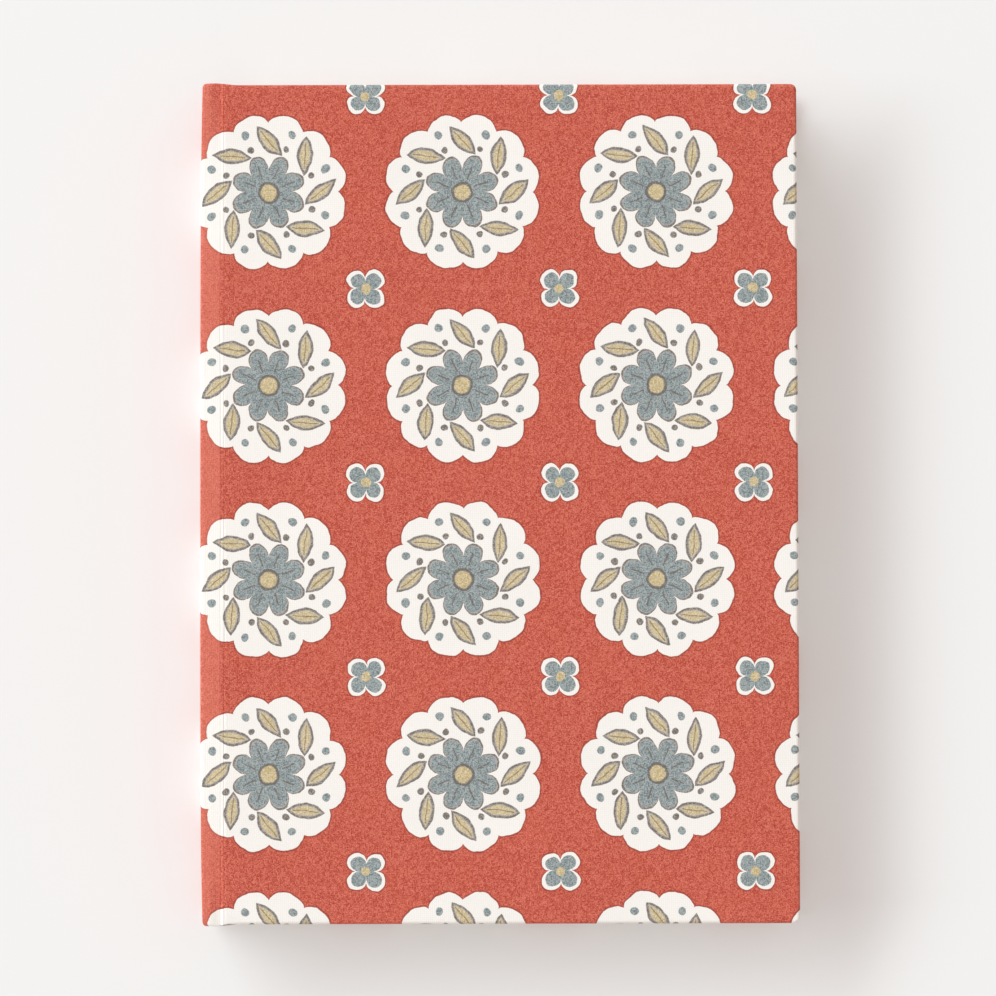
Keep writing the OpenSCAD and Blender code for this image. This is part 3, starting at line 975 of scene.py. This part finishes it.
def gauze_material(name, light, dark, pitch, height):
    """Open weave: threads that cross at right angles, with dark gaps between."""
    material, tree, shader = new_material(name, GAUZE_ROUGH_MEAN)
    split = tree.nodes.new("ShaderNodeSeparateXYZ")
    where = object_vector(tree)
    tree.links.new(where, split.inputs[0])
    x, y, z = (Field(tree, split.outputs[i]) for i in range(3))
    uneven = noise(tree, where, GAUZE_STRAY_SCALE)
    warp = ((x + z) * (math.pi / pitch) + uneven).sin().abs()
    weft = (y * (math.pi / pitch) + uneven).sin().abs()
    cover = (1 - warp * weft).clamp()
    tree.links.new(mix(tree, cover, dark, light), shader.inputs["Base Color"])
    bump(tree, shader, cover, height)
    tree.links.new((GAUZE_ROUGH - cover * THREAD_SMOOTHER).socket, shader.inputs["Roughness"])
    return material


# Each with its light and its dark tone, and lengths in millimetres
cloth = cloth_material()
paper = fibre_material(
    "page_paper", linear(248, 243, 232), linear(240, 234, 219),
    roughness=0.8, scale=1.0, height=0.01,
)
page_edge = fibre_material(
    "page_edge", linear(250, 245, 235), linear(240, 233, 218),
    roughness=0.85, scale=1.0, height=0.01, by_leaf=0.15,
)
endpaper = fibre_material(
    "endpaper", linear(244, 237, 220), linear(233, 224, 203),
    roughness=0.78, scale=0.8, height=0.015,
)
greyboard = fibre_material(
    "greyboard", linear(158, 150, 140), linear(120, 112, 102),
    roughness=0.9, scale=1.4, height=0.04,
)
kraft = fibre_material(
    "kraft_lining", linear(186, 150, 110), linear(160, 124, 86),
    roughness=0.85, scale=1.2, height=0.02,
)
gauze = gauze_material("mull", linear(232, 224, 204), linear(176, 164, 138), pitch=0.9, height=0.06)
twist = gauze_material("linen_thread", linear(246, 242, 230), linear(206, 198, 180), pitch=0.25, height=0.03)


def dress(obj, material):
    """Gives an object this material alone."""
    obj.data.materials.clear()
    obj.data.materials.append(material)
    return obj


for name in ("front_board", "back_board", "spine_board"):
    dress(nodes[name], greyboard)
dress(nodes["spine_lining"], kraft)
for name in ("mull", "mull_flap_back", "mull_flap_front"):
    dress(nodes[name], gauze)

# The case's cloth
wrap = TURN_TOP + TURN_IN
spine = dress(spine_cloth("cloth_spine"), cloth)
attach(spine, "spine")
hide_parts("cover_cloth_spine")
spine_flat = (2 * TO_BEND * MM, (SPINE_H + 2 * wrap) * MM)
for front in (True, False):
    side = "front" if front else "back"
    cover = f"{side}_cover"
    panel = dress(panel_cloth(f"cloth_{side}", front), cloth)
    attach(panel, cover)
    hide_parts(f"cover_cloth_{side}")
    joint = dress(joint_cloth(f"cloth_joint_{side}", front), cloth)
    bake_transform(joint)
    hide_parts("cover_cloth_spine")
    panel_flat = ((CASE_W - SEAM_S + wrap) * MM, (CASE_H + 2 * wrap) * MM)
    joint_flat = ((TO_SEAM - TO_BEND) * MM, (SPINE_H + 2 * wrap) * MM)

    inner = dress(make_pastedown(f"pastedown_{side}", front), endpaper)
    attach(inner, cover)
    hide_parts(f"{side}_pastedown")
    leaf = dress(make_flyleaf(f"flyleaf_{side}", front), endpaper)
    lean(leaf, 1 if front else SECTION_COUNT)
    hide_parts(f"{side}_flyleaf")

# The pages and their sewing
for k in range(1, SECTION_COUNT + 1):
    pages = make_section(k)
    lean(pages, k)
    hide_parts(f"section_{k:02d}")
    sewn = bpy.data.objects.new(f"sewing_{k:02d}", nodes[f"thread_{k:02d}"].data.copy())
    bpy.context.scene.collection.objects.link(sewn)
    lean(dress(sewn, twist), k)
    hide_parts(f"thread_{k:02d}")

# The studio: a floor that is lifted towards white where it is seen, a soft sky and one long softbox
FLOOR_WHITE = linear(245, 245, 244)
FLOOR_GLOW = 0.21
FLOOR_HALF = 12.0
SKY_COLOUR = (1.05, 0.93, 0.89, 1.0)
SKY_STRENGTH = 0.58
KEY_PLACE = Vector((-6.82, 3.94, 4.6))
KEY_WIDTH, KEY_HEIGHT = 12.5, 2.4
KEY_WATTS = 900.0
KEY_COLOUR = (0.905, 1.023, 1.06)

# The photograph's view: nearly straight down, a little from the tail
CAMERA_PLACE = (-0.00116, -0.02335, 0.87438)
CAMERA_DEGREES = (1.644, -0.035, -0.129)
CAMERA_LENS, CAMERA_SENSOR = 120.0, 36.0


def make_floor():
    """A pale floor that keeps the shadow, and glows a little where it is seen but lights nothing."""
    mesh = bpy.data.meshes.new("floor")
    corners = [(FLOOR_HALF * x, FLOOR_HALF * y, 0) for x, y in ((-1, -1), (1, -1), (1, 1), (-1, 1))]
    mesh.from_pydata(corners, [], [(0, 1, 2, 3)])
    floor = bpy.data.objects.new("floor", mesh)
    bpy.context.scene.collection.objects.link(floor)
    material, tree, shader = new_material(
        "floor", roughness=0.9, Base_Color=FLOOR_WHITE, Specular_IOR_Level=0.0,
    )
    glow = tree.nodes.new("ShaderNodeEmission")
    glow.inputs["Color"].default_value = FLOOR_WHITE
    path = tree.nodes.new("ShaderNodeLightPath")
    seen = Field(tree, path.outputs["Is Camera Ray"])
    for ray in ("Is Glossy Ray", "Is Transmission Ray"):
        seen = seen.most(Field(tree, path.outputs[ray]))
    blend = tree.nodes.new("ShaderNodeMixShader")
    tree.links.new((seen * FLOOR_GLOW).socket, blend.inputs[0])
    tree.links.new(shader.outputs[0], blend.inputs[1])
    tree.links.new(glow.outputs[0], blend.inputs[2])
    tree.links.new(blend.outputs[0], tree.nodes["Material Output"].inputs["Surface"])
    mesh.materials.append(material)


make_floor()
scene = bpy.context.scene
scene.view_settings.view_transform = "Standard"
world_light = bpy.data.worlds.new("studio")
world_light.use_nodes = True
sky = world_light.node_tree.nodes["Background"]
sky.inputs["Color"].default_value = SKY_COLOUR
sky.inputs["Strength"].default_value = SKY_STRENGTH
scene.world = world_light

key_data = bpy.data.lights.new("softbox", "AREA")
key_data.shape = "RECTANGLE"
key_data.size = KEY_WIDTH
key_data.size_y = KEY_HEIGHT
key_data.energy = KEY_WATTS
key_data.color = KEY_COLOUR
key = bpy.data.objects.new("softbox", key_data)
key.location = KEY_PLACE
key.rotation_euler = (-KEY_PLACE).to_track_quat("-Z", "Y").to_euler()
scene.collection.objects.link(key)

camera_data = bpy.data.cameras.new("camera")
camera_data.sensor_width = CAMERA_SENSOR
camera_data.lens = CAMERA_LENS
camera = bpy.data.objects.new("camera", camera_data)
camera.location = CAMERA_PLACE
camera.rotation_euler = [math.radians(degrees) for degrees in CAMERA_DEGREES]
scene.collection.objects.link(camera)
scene.camera = camera
